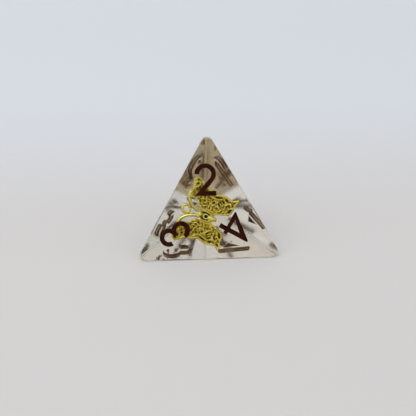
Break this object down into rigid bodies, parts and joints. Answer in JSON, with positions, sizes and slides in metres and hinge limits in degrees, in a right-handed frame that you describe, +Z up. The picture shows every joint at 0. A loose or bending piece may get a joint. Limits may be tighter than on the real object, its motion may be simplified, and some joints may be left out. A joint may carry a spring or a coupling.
{
  "type": "four-sided die",
  "caption": "Four-sided tabletop gaming die in clear resin with painted engraved numerals and a gilt filigree butterfly cast inside.",
  "frame": {"origin": "centre of the base face, on the table", "axes": "+Z up through the top corner, +X along the front edge towards the corner numbered 4, +Y towards the rear corner numbered 1"},
  "size_m": [0.0204, 0.018, 0.0168],
  "materials": {
    "resin": "polished clear cast resin",
    "ink": "dark burgundy acrylic paint in the recesses",
    "gold": "bright gilt casting with darkened hollows"
  },
  "bodies": {
    "root": {"resin_body": "resin", "ink_front_2": "ink", "ink_front_3": "ink", "ink_front_4": "ink", "ink_base_1": "ink", "ink_base_3": "ink", "ink_base_4": "ink", "ink_left_1": "ink", "ink_left_2": "ink", "ink_left_3": "ink", "ink_right_1": "ink", "ink_right_2": "ink", "ink_right_4": "ink", "butterfly_charm": "gold"}
  },
  "joints": []
}
